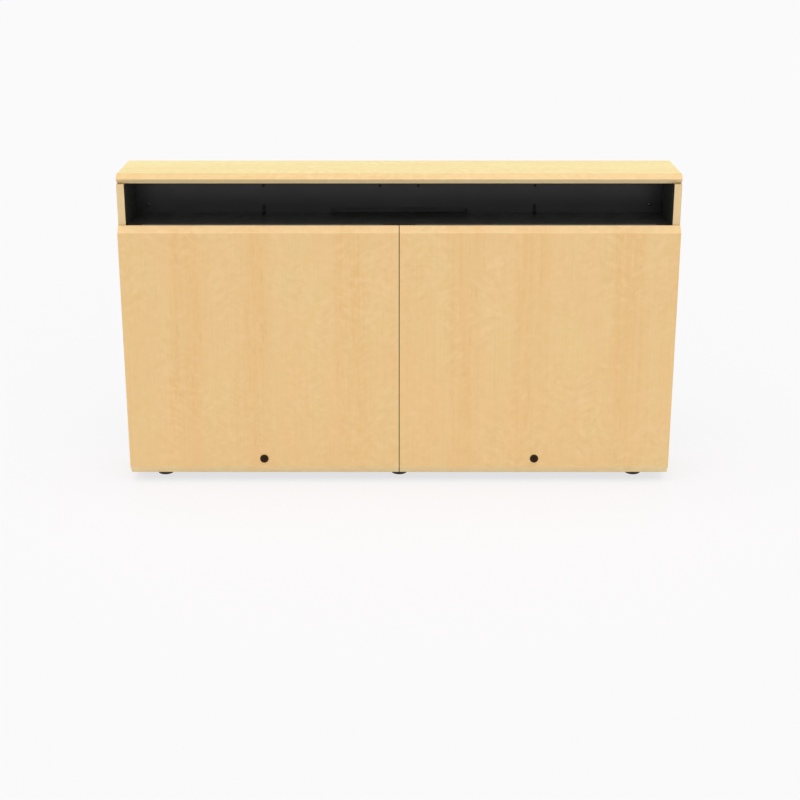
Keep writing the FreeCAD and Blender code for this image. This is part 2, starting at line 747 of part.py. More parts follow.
def door_bumpers():
    """Soft dots on the carcase front that the doors close against."""
    thick = DOOR_GAP - BUMPER_GAP
    z = BOTTOM_TOP_Z + BUMPER_RISE
    solids = []
    for x in (BUMPER_OFFSET, HALF_WIDTH - SIDE_THICK / 2):
        for side in (-1, 1):
            seat = V(side * x, FRONT_Y, z)
            solids.append(faceted_rod(BUMPER_RADIUS, seat, seat - V(0, thick, 0)))
    return Part.makeCompound(solids)


def fittings():
    bracket = niche_bracket()
    nodes["joint_blocks"] = joint_blocks()
    nodes["niche_brackets"] = Part.makeCompound([bracket, mirrored(bracket)])
    nodes["back_panel_screws"] = back_screws()
    nodes["door_bumpers"] = door_bumpers()


def main():
    carcase()
    doors()
    locks()
    feet()
    struts()
    fittings()
    os.makedirs("parts", exist_ok=True)
    for name, shape in nodes.items():
        shape.exportStep(os.path.join("parts", name + ".step"))


main()
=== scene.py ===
import json
import math
from typing import NamedTuple

import bmesh
import bpy
from mathutils import Matrix, Vector


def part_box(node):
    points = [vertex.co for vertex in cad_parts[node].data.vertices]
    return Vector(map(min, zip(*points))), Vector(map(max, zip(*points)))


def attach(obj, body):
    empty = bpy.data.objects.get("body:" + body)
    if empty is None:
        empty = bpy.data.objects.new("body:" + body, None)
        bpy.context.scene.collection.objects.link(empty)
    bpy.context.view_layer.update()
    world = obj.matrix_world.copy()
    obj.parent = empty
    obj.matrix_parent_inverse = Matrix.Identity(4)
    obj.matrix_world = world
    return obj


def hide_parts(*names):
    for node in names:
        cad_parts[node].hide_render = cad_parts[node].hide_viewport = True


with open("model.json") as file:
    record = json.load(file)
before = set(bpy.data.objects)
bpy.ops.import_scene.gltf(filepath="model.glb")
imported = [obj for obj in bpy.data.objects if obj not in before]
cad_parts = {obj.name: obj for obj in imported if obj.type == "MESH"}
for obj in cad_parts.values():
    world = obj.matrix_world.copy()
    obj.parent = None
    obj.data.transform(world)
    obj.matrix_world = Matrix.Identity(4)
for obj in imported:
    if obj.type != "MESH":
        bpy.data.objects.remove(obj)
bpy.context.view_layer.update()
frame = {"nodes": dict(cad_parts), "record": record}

nodes = frame["nodes"]
scene = bpy.context.scene
MM = 0.001
X_AXIS, Y_AXIS, Z_AXIS = range(3)
ORIGIN = (0, 0, 0)
FULL_SIZE = (1, 1, 1)


def rgb(red, green, blue):
    """Linear colour from 8-bit screen values, by the sRGB curve."""
    linear = []
    for value in (red, green, blue):
        share = value / 255
        linear.append(share / 12.92 if share <= 0.04045 else ((share + 0.055) / 1.055) ** 2.4)
    return (*linear, 1.0)


def grey(level):
    """Linear colour with one level in all channels."""
    return (level, level, level, 1.0)


def one_axis(which, value, others=1.0):
    """A value for each axis, of which one differs from the others."""
    return tuple(value if axis == which else others for axis in range(3))


WHITE = grey(1.0)


# Materials

# Colour sockets of the Mix node, which has several sockets of each name
MIX_SHARE = 0
MIX_FIRST = 6
MIX_SECOND = 7
MIX_RESULT = 2


class Finish:
    """A material whose shader is fed by a chain of nodes."""

    def __init__(self, name, **sockets):
        self.material = bpy.data.materials.new(name)
        self.material.use_nodes = True
        self.tree = self.material.node_tree
        self.shader = self.tree.nodes["Principled BSDF"]
        for socket, value in sockets.items():
            self.feed(self.shader, socket.replace("_", " "), value)

    def feed(self, node, socket, value):
        """Put a value on a node's input, or link another node's output to it."""
        if isinstance(value, bpy.types.NodeSocket):
            self.tree.links.new(value, node.inputs[socket])
        else:
            node.inputs[socket].default_value = value

    def add(self, kind, inputs, **settings):
        """New node of a kind, with its settings and its inputs."""
        node = self.tree.nodes.new("ShaderNode" + kind)
        for setting, value in settings.items():
            setattr(node, setting, value)
        for socket, value in inputs.items():
            self.feed(node, socket, value)
        return node

    def place(self, size, shift, turn):
        """Point on the object in metres, shifted, turned, then divided by a size along each axis."""
        point = self.add("TexCoord", {}).outputs["Object"]
        inputs = {"Vector": point, "Location": shift, "Rotation": turn, "Scale": size}
        return self.add("Mapping", inputs, vector_type="TEXTURE").outputs["Vector"]

    def noise(self, scale, detail=2.0, size=FULL_SIZE, shift=ORIGIN, rough=0.5, warp=0.0, turn=ORIGIN):
        """Cloudy pattern, stretched by a size along each axis."""
        inputs = {
            "Vector": self.place(size, shift, turn),
            "Scale": scale,
            "Detail": detail,
            "Roughness": rough,
            "Distortion": warp,
        }
        return self.add("TexNoise", inputs).outputs["Fac"]

    def spread(self, value, low, high, to_low=0.0, to_high=1.0):
        """Map a range onto another, held at its ends."""
        inputs = {
            "Value": value,
            "From Min": low,
            "From Max": high,
            "To Min": to_low,
            "To Max": to_high,
        }
        return self.add("MapRange", inputs, interpolation_type="SMOOTHSTEP").outputs["Result"]

    def maths(self, operation, first, second):
        """Result of an operation on two values."""
        node = self.add("Math", {}, operation=operation)
        self.feed(node, 0, first)
        self.feed(node, 1, second)
        return node.outputs["Value"]

    def blend(self, share, first, second, how="MIX"):
        """Colour that goes from the first to the second with a share, or to their product."""
        node = self.add("Mix", {}, data_type="RGBA", blend_type=how)
        self.feed(node, MIX_SHARE, share)
        self.feed(node, MIX_FIRST, first)
        self.feed(node, MIX_SECOND, second)
        return node.outputs[MIX_RESULT]

    def axis(self, name):
        """Place on the object along one axis, in metres."""
        point = self.add("TexCoord", {}).outputs["Object"]
        return self.add("SeparateXYZ", {"Vector": point}).outputs[name]

    def surface(self, colour, roughness, height, strength, depth):
        """The material, once its colour, its roughness and a relief of some depth are on the shader."""
        relief = self.add("Bump", {"Height": height, "Strength": strength, "Distance": depth})
        self.feed(self.shader, "Base Color", colour)
        self.feed(self.shader, "Roughness", roughness)
        self.feed(self.shader, "Normal", relief.outputs["Normal"])
        return self.material


MAPLE_BASE = rgb(231, 193, 135)
MAPLE_YELLOW = rgb(229, 196, 136)
MAPLE_HEART = rgb(227, 183, 120)
MAPLE_PALE = rgb(239, 206, 156)
MAPLE_DARK = rgb(196, 148, 92)
BLACK = (rgb(19, 19, 19), rgb(24, 24, 24))
# Lighter black than the rest of the black laminate, for the niche floor and the side panels' inner faces:
# painted light
PAINTED_LIGHT_BLACK = (rgb(54, 54, 51), rgb(62, 62, 59))

# Tints that multiply the maple's colour: painted light on the top panel's flat top, painted shade on the
# upper slope of its front edge, painted cool bounce light on its lower slope and on the doors' foot slope,
# and a bluer tint on the side panels' front edges
PAINTED_TOP_LIGHT_TINT = (1.04, 1.27, 1.19, 1.0)
PAINTED_TOP_SLOPE_LIGHT_TINT = (0.87, 1.04, 1.31, 1.0)
PAINTED_NOSE_SHADE_TINT = (0.96, 0.99, 0.97, 1.0)
PAINTED_DOOR_SLOPE_LIGHT_TINT = (1.03, 1.16, 1.29, 1.0)
SIDE_BAND_TINT = (0.95, 1.01, 1.16, 1.0)

# The part of a noise's range that most of it falls in. Each roughness below has a value for both ends of
# a range, and each relief a strength and a depth.
MIDDLE = (0.3, 0.7)

FLECK_SCALE = 1800
FLECK_RANGE = (0.35, 0.7)
FLECK_SHARE = 0.5
CLOUD_SCALE = 14
CLOUD_DETAIL = 3
CLOUD_SHARE = 0.5


def black_colour(finish, shades):
    """Fine flecks and soft clouds between two shades of black."""
    flecks = finish.spread(finish.noise(FLECK_SCALE), *FLECK_RANGE)
    clouds = finish.noise(CLOUD_SCALE, CLOUD_DETAIL)
    fleck_share = finish.maths("MULTIPLY", flecks, FLECK_SHARE)
    cloud_share = finish.maths("MULTIPLY", clouds, CLOUD_SHARE)
    share = finish.maths("ADD", fleck_share, cloud_share)
    return finish.blend(share, *shades)


# Heart strips: places, half widths and wander as shares of a door's width
HEART_STRIPS = (0.235, 0.475, 0.825)
HEART_CORE = 0.03
HEART_EDGE = 0.08
HEART_WANDER = 0.04

# Their strength away from the core, and the share of a door's height from which it is full
HEART_BETWEEN = 0.12
HEART_AT_SIDES = 0.4
HEART_AT_FOOT = 0.45
HEART_FULL_HEIGHT = 0.5
WANDER_SCALE = 6
WANDER_DETAIL = 3
WANDER_STRETCH = 3
WANDER_ROUGHNESS = 0.6


def heart_strips(finish, door, along, shift):
    """Darker strips of heartwood at set shares of a door's width.

    Their edges wander, and they fade towards the foot of the door. door gives its corners.
    """
    low, high = door
    size = one_axis(along, WANDER_STRETCH)
    pattern = finish.noise(WANDER_SCALE, WANDER_DETAIL, size, shift, WANDER_ROUGHNESS)
    wander = finish.spread(pattern, 0, 1, -HEART_WANDER, HEART_WANDER)
    across = finish.maths("DIVIDE", finish.maths("SUBTRACT", finish.axis("X"), low.x), high.x - low.x)
    full = low.z + (high.z - low.z) * HEART_FULL_HEIGHT
    fade = finish.spread(finish.axis("Z"), low.z, full, HEART_AT_FOOT)
    ramp = finish.add("ValToRGB", {"Fac": finish.maths("ADD", across, wander)})
    stops = ramp.color_ramp.elements
    for stop in stops:
        stop.color = grey(HEART_AT_SIDES)
    for middle in HEART_STRIPS:
        for side in (-1, 1):
            stops.new(middle + side * HEART_EDGE).color = grey(HEART_BETWEEN)
            stops.new(middle + side * HEART_CORE).color = WHITE
    return finish.maths("MULTIPLY", ramp.outputs["Color"], fade)


CURL_SCALE = 72
CURL_LENGTH = 2.0
CURL_WARP = 0.4
CURL_TILT = 0.5
PATCH_SCALE = 20
PATCH_DETAIL = 1
PATCH_LENGTH = 2.5
PATCH_RANGE = (0.44, 0.56)


def curly_figure(finish, along, normal, shift, other):
    """Short ripples across the grain, which lean one way or the other in patches."""
    across = X_AXIS + Y_AXIS + Z_AXIS - along - normal
    size = one_axis(across, CURL_LENGTH)
    ripples = []
    for lean in (-CURL_TILT, CURL_TILT):
        turn = one_axis(normal, lean, others=0.0)
        ripples.append(finish.noise(CURL_SCALE, size=size, shift=shift, warp=CURL_WARP, turn=turn))
    patches = finish.noise(PATCH_SCALE, PATCH_DETAIL, one_axis(along, PATCH_LENGTH), other)
    return finish.blend(finish.spread(patches, *PATCH_RANGE), *ripples)


class Layer(NamedTuple):
    """Noise stretched along the grain, with the range of it that shows and the least that it keeps."""

    scale: float
    stretch: float
    low: float
    high: float
    warp: float = 0.0
    least: float = 0.0


DRIFT = Layer(scale=15, stretch=3, low=0.38, high=0.66)
HEART = Layer(scale=6, stretch=20, low=0.48, high=0.66, warp=0.3)
RAYS = Layer(scale=70, stretch=30, low=0.34, high=0.62, warp=0.3, least=0.45)
FIGURE = Layer(scale=12, stretch=3, low=0.36, high=0.62, least=0.35)
STREAKS = Layer(scale=300, stretch=80, low=0.35, high=0.75)
DASHES = Layer(scale=230, stretch=8, low=0.58, high=0.74, warp=0.4)
LIGHT_CURL = (0.46, 0.78)
DARK_CURL = (0.54, 0.22)
DASHES_OFF_HEART = 0.3
HEART_SHARE = 0.62
LIGHT_CURL_SHARE = 0.40
DARK_CURL_SHARE = 0.13
STREAK_SHARE = 0.07
DASH_SHARE = 0.22
MAPLE_ROUGHNESS = (0.46, 0.40)
MAPLE_RELIEF = (0.12, 0.15 * MM)

# Places in the noise along each axis, as multiples of a board's seed
SEED_SHIFT = (1.0, 0.7, 1.3)
OTHER_SHIFT = (1.9, 0.4, 0.8)


def maple(name, along, normal, seed, door=None, black_side=None, tints=()):
    """Pale maple laminate: soft heart strips, curly figure across the grain and fine dashes along it.

    along and normal are the axes of the grain and of the broad face. door gives the corners of a door,
    black_side a mask and the shades for faces that carry black laminate, and tints masks and tints that
    multiply the colour on some faces: painted light and shade, or a bluer front edge.
    """
    finish = Finish(name)
    shift = tuple(seed * times for times in SEED_SHIFT)
    other = tuple(seed * times for times in OTHER_SHIFT)

    def layer(kind, place):
        size = one_axis(along, kind.stretch)
        pattern = finish.noise(kind.scale, size=size, shift=place, warp=kind.warp)
        return finish.spread(pattern, kind.low, kind.high, kind.least)

    heart = heart_strips(finish, door, along, other) if door else layer(HEART, other)
    heart = finish.maths("MULTIPLY", heart, layer(RAYS, other))
    strength = layer(FIGURE, other)
    curl = curly_figure(finish, along, normal, shift, other)
    light_curl = finish.maths("MULTIPLY", finish.spread(curl, *LIGHT_CURL), strength)
    dark_curl = finish.maths("MULTIPLY", finish.spread(curl, *DARK_CURL), strength)
    streaks = layer(STREAKS, shift)
    dash_strength = finish.spread(heart, 0, 1, DASHES_OFF_HEART)
    dashes = finish.maths("MULTIPLY", layer(DASHES, other), dash_strength)

    colour = finish.blend(layer(DRIFT, shift), MAPLE_BASE, MAPLE_YELLOW)
    for pattern, share, shade in (
        (heart, HEART_SHARE, MAPLE_HEART),
        (light_curl, LIGHT_CURL_SHARE, MAPLE_PALE),
        (dark_curl, DARK_CURL_SHARE, MAPLE_DARK),
        (streaks, STREAK_SHARE, MAPLE_DARK),
        (dashes, DASH_SHARE, MAPLE_DARK),
    ):
        colour = finish.blend(finish.maths("MULTIPLY", pattern, share), colour, shade)
    for mask, tint in tints:
        colour = finish.blend(mask(finish), colour, tint, "MULTIPLY")
    if black_side is not None:
        mask, shades = black_side
        colour = finish.blend(mask(finish), colour, black_colour(finish, shades))
    roughness = finish.spread(curl, *MIDDLE, *MAPLE_ROUGHNESS)
    return finish.surface(colour, roughness, finish.maths("SUBTRACT", streaks, dashes), *MAPLE_RELIEF)


LAMINATE_SHINE = 0.42
LAMINATE_ROUGHNESS = (0.30, 0.38)
LAMINATE_WEAR_SCALE = 30
LAMINATE_RELIEF = (0.08, 0.2 * MM)
PEBBLE_SCALE = 1500


def black_laminate(name, shades):
    """Black laminate with a pebbled face."""
    finish = Finish(name, Specular_IOR_Level=LAMINATE_SHINE)
    colour = black_colour(finish, shades)
    roughness = finish.spread(finish.noise(LAMINATE_WEAR_SCALE), *MIDDLE, *LAMINATE_ROUGHNESS)
    return finish.surface(colour, roughness, finish.noise(PEBBLE_SCALE), *LAMINATE_RELIEF)


WOOD_STRETCH = 20.0
WOOD_LINE_SCALE = 160
WOOD_LINE_DETAIL = 3
WOOD_LINE_WARP = 0.6
WOOD_LINE_RANGE = (0.35, 0.65)
WOOD_BROAD_SCALE = 18
WOOD_BROAD_LEAST = 0.5
WOOD_ROUGHNESS = (0.55, 0.7)
WOOD_RELIEF = (0.25, 0.3 * MM)


def grained_wood(name, light, dark, along):
    """Planed wood with growth lines along one axis."""
    finish = Finish(name)
    size = one_axis(along, WOOD_STRETCH)
    pattern = finish.noise(WOOD_LINE_SCALE, WOOD_LINE_DETAIL, size, warp=WOOD_LINE_WARP)
    lines = finish.spread(pattern, *WOOD_LINE_RANGE)
    broad = finish.spread(finish.noise(WOOD_BROAD_SCALE, size=size), *MIDDLE, WOOD_BROAD_LEAST)
    colour = finish.blend(finish.maths("MULTIPLY", lines, broad), light, dark)
    return finish.surface(colour, finish.spread(lines, 0, 1, *WOOD_ROUGHNESS), lines, *WOOD_RELIEF)


METAL_GRAIN_DETAIL = 3
METAL_CLOUD_SCALE = 90
METAL_RELIEF = (0.08, 0.1 * MM)


def metal(name, light, dark, grain, rough):
    """Plated steel with a faint grain."""
    finish = Finish(name, Metallic=1.0)
    streaks = finish.noise(grain, METAL_GRAIN_DETAIL)
    clouds = finish.noise(METAL_CLOUD_SCALE)
    colour = finish.blend(finish.maths("MULTIPLY", streaks, clouds), light, dark)
    return finish.surface(colour, finish.spread(clouds, *MIDDLE, *rough), streaks, *METAL_RELIEF)


COAT_CLOUD_SCALE = 45
COAT_RANGE = (0.7, 1.3)
COAT_DEPTH = 0.2 * MM


def coated(name, base, lift, grain, rough, relief, shine=0.5):
    """Moulded plastic, rubber or paint with a fine texture."""
    finish = Finish(name, Specular_IOR_Level=shine)
    texture = finish.noise(grain)
    clouds = finish.noise(COAT_CLOUD_SCALE)
    share = finish.spread(finish.maths("ADD", texture, clouds), *COAT_RANGE)
    colour = finish.blend(share, base, lift)
    return finish.surface(colour, finish.spread(clouds, *MIDDLE, *rough), texture, relief, COAT_DEPTH)


SIDE_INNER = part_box("right_side_panel")[0].x
TOP_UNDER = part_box("top_panel")[0].z
TOP_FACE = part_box("top_panel")[1].z
FACE_MARGIN = 0.2 * MM
TOP_SLOPE = 12.7 * MM
DOOR_SLOPE_RISE = 22 * MM
DOOR_SLOPE_RUN = 16.5 * MM
SIDE_BAND = 1.0 * MM


def inner_side(finish):
    """Inner faces of the side panels."""
    distance = finish.maths("ABSOLUTE", finish.axis("X"), 0.0)
    return finish.maths("LESS_THAN", distance, SIDE_INNER + FACE_MARGIN)


def underside(finish):
    """Underside of the top panel."""
    return finish.maths("LESS_THAN", finish.axis("Z"), TOP_UNDER + FACE_MARGIN)


def flat_top(finish):
    """Flat upper face of the top panel."""
    return finish.maths("GREATER_THAN", finish.axis("Z"), TOP_FACE - FACE_MARGIN)


def slope(node, rise, run, part):
    """Mask for the slope on a board's front edge, below a height (LESS_THAN) or above it."""
    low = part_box(node)[0]

    def mask(finish):
        height = finish.maths(part, finish.axis("Z"), low.z + rise)
        front = finish.maths("LESS_THAN", finish.axis("Y"), low.y + run)
        return finish.maths("MULTIPLY", height, front)

    return mask


def front_edge(node):
    """Mask for the band on a board's front edge."""
    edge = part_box(node)[0].y

    def mask(finish):
        return finish.maths("LESS_THAN", finish.axis("Y"), edge + SIDE_BAND)

    return mask


def door_maple(node, seed):
    """Maple with upright grain and heart strips, and painted bounce light on the slope at the foot."""
    slope_light_tint = (slope(node, DOOR_SLOPE_RISE, DOOR_SLOPE_RUN, "LESS_THAN"), PAINTED_DOOR_SLOPE_LIGHT_TINT)
    return maple("maple_" + node, Z_AXIS, Y_AXIS, seed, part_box(node), tints=[slope_light_tint])


def top_maple(node, seed):
    """Maple with its grain across the cabinet, painted light on top, painted shade on the upper front
    slope, painted cool bounce light on the lower one, and black below.
    """
    slope_light_tint = (slope(node, TOP_SLOPE, TOP_SLOPE, "LESS_THAN"), PAINTED_TOP_SLOPE_LIGHT_TINT)
    nose_shade_tint = (slope(node, TOP_SLOPE, TOP_SLOPE, "GREATER_THAN"), PAINTED_NOSE_SHADE_TINT)
    tints = [(flat_top, PAINTED_TOP_LIGHT_TINT), slope_light_tint, nose_shade_tint]
    return maple("maple_" + node, X_AXIS, Z_AXIS, seed, black_side=(underside, BLACK), tints=tints)


def side_maple(node, seed):
    """Maple with upright grain, a bluer tint on the front edge, and black with painted light on the inner
    face.
    """
    front_band = (front_edge(node), SIDE_BAND_TINT)
    black_side = (inner_side, PAINTED_LIGHT_BLACK)
    return maple("maple_" + node, Z_AXIS, X_AXIS, seed, black_side=black_side, tints=[front_band])


SLOT_MATERIALS = {
    "black_laminate": black_laminate("black_laminate", BLACK),
    # Near-black rails: painted shade, so that the cable slot and the wall-fixing holes in front of them
    # read dark
    "rail_wood": grained_wood("rail_wood", rgb(24, 23, 22), rgb(17, 16, 15), X_AXIS),
    "dowel_wood": grained_wood("dowel_wood", rgb(216, 190, 152), rgb(186, 152, 110), Z_AXIS),
}
METALS = {
    "screw_steel": dict(light=rgb(206, 205, 200), dark=rgb(160, 158, 152), grain=700, rough=(0.24, 0.38)),
    "zinc_plate": dict(light=rgb(204, 204, 200), dark=rgb(150, 150, 146), grain=500, rough=(0.28, 0.44)),
    "strut_rod_chrome": dict(
        light=rgb(226, 226, 228), dark=rgb(196, 196, 200), grain=1600, rough=(0.08, 0.16)
    ),
}
COATINGS = {
    "hinge_steel": dict(
        base=rgb(38, 37, 36), lift=rgb(50, 48, 46), grain=900, rough=(0.34, 0.46), relief=0.08
    ),
    "black_zinc": dict(
        base=rgb(40, 22, 2), lift=rgb(46, 28, 6), grain=1200, rough=(0.40, 0.50), relief=0.06, shine=0.15
    ),
    "strut_tube": dict(
        base=rgb(36, 36, 38), lift=rgb(46, 46, 48), grain=700, rough=(0.26, 0.36), relief=0.05
    ),
    "foot_plastic": dict(
        base=rgb(33, 26, 19), lift=rgb(42, 34, 26), grain=1400, rough=(0.48, 0.60), relief=0.15
    ),
    "block_plastic": dict(
        base=rgb(44, 43, 42), lift=rgb(56, 54, 52), grain=1200, rough=(0.46, 0.58), relief=0.15
    ),
    "black_fitting": dict(
        base=rgb(20, 20, 20), lift=rgb(26, 26, 26), grain=900, rough=(0.36, 0.48), relief=0.08, shine=0.15
    ),
    "bumper_rubber": dict(
        base=rgb(196, 194, 188), lift=rgb(210, 208, 203), grain=600, rough=(0.36, 0.50), relief=0.10
    ),
}
for slot, look in METALS.items():
    SLOT_MATERIALS[slot] = metal(slot, **look)
for slot, look in COATINGS.items():
    SLOT_MATERIALS[slot] = coated(slot, **look)
NODE_MATERIALS = {
    "top_panel": top_maple("top_panel", seed=3.1),
    # The niche floor takes the lighter black: painted light
    "niche_shelf": black_laminate("shelf_laminate", PAINTED_LIGHT_BLACK),
    "left_side_panel": side_maple("left_side_panel", seed=7.7),
    "right_side_panel": side_maple("right_side_panel", seed=11.9),
    "left_door": door_maple("left_door", seed=1.7),
    "right_door": door_maple("right_door", seed=5.3),
}
slots = {}
for row in frame["record"]["subparts"]:
    slots[row["node"]] = row["material_slot"]


def finish_of(node):
    """Material of a node: its own where it has one, or else that of its slot."""
    return NODE_MATERIALS.get(node) or SLOT_MATERIALS[slots[node]]


for node, piece in nodes.items():
    piece.data.materials.clear()
    piece.data.materials.append(finish_of(node))


# Detailed pieces that stand for plain solids

STEPS_PER_RIB = 4


def round_ring(angle):
    """Reach of a circle, at any angle."""
    return 1.0


def hexagon_ring(angle):
    """Reach of a hexagon, as a multiple of the distance to its flats."""
    sixth = math.pi / 3
    return 1 / math.cos(angle % sixth - sixth / 2)


def ribbed_ring(count, depth):
    """Ring form with even ribs, whose hollows reach in by a share of the radius."""

    def form(angle):
        return 1 - depth * (0.5 - 0.5 * math.cos(count * angle))

    return form


def turned(profile, steps, bored=False):
    """Shape turned about Z from (radius, height, ring form) points.

    A bored shape is closed by a wall from its last ring to its first.
    """
    shape = bmesh.new()
    rings = []
    for radius, height, form in profile:
        ring = []
        for step in range(steps if radius > 0 else 1):
            angle = 2 * math.pi * step / steps
            reach = radius * form(angle)
            ring.append(shape.verts.new((reach * math.cos(angle), reach * math.sin(angle), height)))
        rings.append(ring)
    if bored:
        rings.append(rings[0])
    for low, high in zip(rings, rings[1:]):
        for step in range(steps):
            after = (step + 1) % steps
            corners = [
                low[step % len(low)],
                low[after % len(low)],
                high[after % len(high)],
                high[step % len(high)],
            ]
            shape.faces.new(list(dict.fromkeys(corners)))
    bmesh.ops.recalc_face_normals(shape, faces=shape.faces)
    return shape


SMOOTH_ANGLE = math.radians(35)
body_of_node = {}
for body, members in frame["record"]["behaviour"]["bodies"].items():
    for member in members:
        body_of_node[member] = body


def object_from(shape, name):
    """Object in the scene from a shape, which is used up."""
    mesh = bpy.data.meshes.new(name)
    shape.to_mesh(mesh)
    shape.free()
    made = bpy.data.objects.new(name, mesh)
    scene.collection.objects.link(made)
    return made


def piece_from(shape, node, keep_shading=False):
    """Object that replaces a CAD node, with its finish and its body."""
    piece = object_from(shape, node + "_detail")
    piece.data.materials.append(finish_of(node))
    if not keep_shading:
        piece.data.shade_smooth()
        piece.data.set_sharp_from_angle(angle=SMOOTH_ANGLE)
    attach(piece, body_of_node[node])
    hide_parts(node)


SAME_POINT = 0.01 * MM
ORDER_DIGITS = 4


def cad_shape(node):
    """Shape of a CAD node, with the corners that its faces share merged."""
    shape = bmesh.new()
    shape.from_mesh(nodes[node].data)
    bmesh.ops.remove_doubles(shape, verts=shape.verts, dist=SAME_POINT)
    return shape


def solid_places(node):
    """Corners of each separate solid in a node, in a fixed order."""
    shape = cad_shape(node)
    remaining = set(shape.verts)
    boxes = []
    while remaining:
        group = [remaining.pop()]
        for vert in group:
            for edge in vert.link_edges:
                other = edge.other_vert(vert)
                if other in remaining:
                    remaining.remove(other)
                    group.append(other)
        low = Vector([min(vert.co[axis] for vert in group) for axis in range(3)])
        high = Vector([max(vert.co[axis] for vert in group) for axis in range(3)])
        boxes.append((low, high))
    shape.free()
    return sorted(boxes, key=lambda pair: tuple(round(value, ORDER_DIGITS) for value in pair[0]))


# Screw: the shank's radius as a share of the head's, radii on the shank as shares of its own, places of
# the thread as shares of the shank's length, and the rise to a crest as a share of it for each turn
SHANK_RADIUS = 0.46
TIP_RADIUS = 0.3
THREAD_ROOT = 0.74
THREAD_START = 0.94
THREAD_SPAN = 0.9
CREST_RISE = 0.45
SCREW_TURNS = 14
HEAD_ARCS = 5
SCREW_STEPS = 20
SHORTEST_SHANK = 0.1 * MM

# Cross recess: an arm's reach as a share of the head's radius, its width as a share of that reach, and its
# depth as a share of the head's height
RECESS_REACH = 0.55
RECESS_WIDTH = 0.26
RECESS_DEPTH = 0.75
FRONTWARD = (0, -1, 0)
BACKWARD = (0, 1, 0)
UPWARD = (0, 0, 1)


def screw_shape(head_radius, head_height, shank_length, dome):
    """Screw with its head above Z 0 and its threaded shank, where it has one, below."""
    shank_radius = head_radius * SHANK_RADIUS
    edge = head_height * (1 - dome)
    outline = [(0, -shank_length)]
    if shank_length > 0:
        outline.append((shank_radius * TIP_RADIUS, -shank_length))
        for turn in range(SCREW_TURNS):
            low = -shank_length * (THREAD_START - THREAD_SPAN * turn / SCREW_TURNS)
            outline.append((shank_radius * THREAD_ROOT, low))
            outline.append((shank_radius, low + shank_length * CREST_RISE / SCREW_TURNS))
        outline.append((shank_radius, 0))
    outline += [(head_radius, 0), (head_radius, edge)]
    for arc in range(1, HEAD_ARCS):
        angle = math.pi / 2 * arc / HEAD_ARCS
        outline.append((head_radius * math.cos(angle), edge + (head_height - edge) * math.sin(angle)))
    outline.append((0, head_height))
    return turned([(radius, height, round_ring) for radius, height in outline], SCREW_STEPS)


def cut_cross(shape, head_radius, head_height):
    """Mesh of a screw with a cross recess in its head."""
    reach = head_radius * RECESS_REACH
    size = Vector((2 * reach, reach * RECESS_WIDTH, 2 * head_height * RECESS_DEPTH))
    cross = bmesh.new()
    for turn in (0, math.pi / 2):
        arm = bmesh.ops.create_cube(cross, size=1.0)["verts"]
        bmesh.ops.scale(cross, vec=size, verts=arm)
        bmesh.ops.rotate(cross, matrix=Matrix.Rotation(turn, 3, "Z"), verts=arm)
        bmesh.ops.translate(cross, vec=(0, 0, head_height), verts=arm)
    blank = object_from(shape, "screw_blank")
    cutter = object_from(cross, "cross_cutter")
    cut = blank.modifiers.new("cross", "BOOLEAN")
    cut.operation = "DIFFERENCE"
    cut.solver = "EXACT"
    cut.use_self = True
    cut.object = cutter
    graph = bpy.context.evaluated_depsgraph_get()
    result = bpy.data.meshes.new_from_object(blank.evaluated_get(graph))
    for piece in (blank, cutter):
        bpy.data.objects.remove(piece)
    return result


def screw_group(node, outward, head_height, dome):
    """All the screws of one node, each with its head on the outward side."""
    along = max(range(3), key=lambda axis: abs(outward[axis]))
    across = (along + 1) % 3
    turn = Vector(UPWARD).rotation_difference(Vector(outward)).to_matrix().to_4x4()
    group = bmesh.new()
    template = None
    for low, high in solid_places(node):
        head_radius = (high[across] - low[across]) / 2
        shank = high[along] - low[along] - head_height
        if template is None:
            blank = screw_shape(head_radius, head_height, shank if shank > SHORTEST_SHANK else 0.0, dome)
            template = cut_cross(blank, head_radius, head_height)
        seat = (low + high) / 2
        end = high[along] if outward[along] > 0 else low[along]
        seat[along] = end - outward[along] * head_height
        copy = template.copy()
        copy.transform(Matrix.Translation(seat) @ turn)
        group.from_mesh(copy)
        bpy.data.meshes.remove(copy)
    bpy.data.meshes.remove(template)
    piece_from(group, node)


# Height of each kind of screw head, and the share of it that is domed
PAN_HEAD = (1.8 * MM, 0.7)
HINGE_HEAD = (0.8 * MM, 0.15)
CAM_HEAD = (2.4 * MM, 0.6)
screw_group("back_panel_screws", FRONTWARD, *PAN_HEAD)
screw_group("strike_screws", UPWARD, *PAN_HEAD)
for side in ("left", "right"):
    screw_group(side + "_hinge_carcase_screws", FRONTWARD, *HINGE_HEAD)
    screw_group(side + "_hinge_door_screws", BACKWARD, *HINGE_HEAD)
    screw_group(side + "_lock_cam_screw", BACKWARD, *CAM_HEAD)


